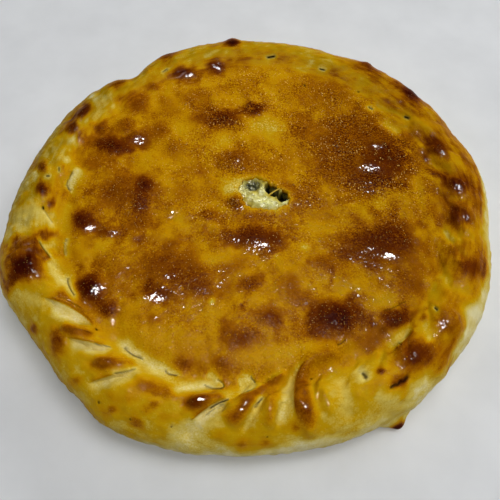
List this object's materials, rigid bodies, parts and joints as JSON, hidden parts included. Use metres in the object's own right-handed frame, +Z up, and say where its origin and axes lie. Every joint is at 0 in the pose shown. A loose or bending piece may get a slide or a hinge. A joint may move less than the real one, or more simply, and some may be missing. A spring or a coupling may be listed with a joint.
{
  "type": "stuffed round flatbread pie",
  "caption": "Round covered flatbread pie with a slanting pleated rim, a browned egg-washed lid and a small torn vent that shows a pale herb-flecked filling.",
  "frame": {"origin": "on the table, under the middle of the pie", "axes": "+Z up out of the lid, -Y towards the front of the pie as the picture shows it, +X to its right"},
  "size_m": [0.2837, 0.2799, 0.0385],
  "materials": {
    "crust": "baked dough, egg-washed and glossy on top with brown blotches, pale and dull low on the side",
    "filling": "moist pale curds flecked with dark green herbs"
  },
  "bodies": {
    "root": {"crust": "crust", "filling": "filling"}
  },
  "joints": []
}
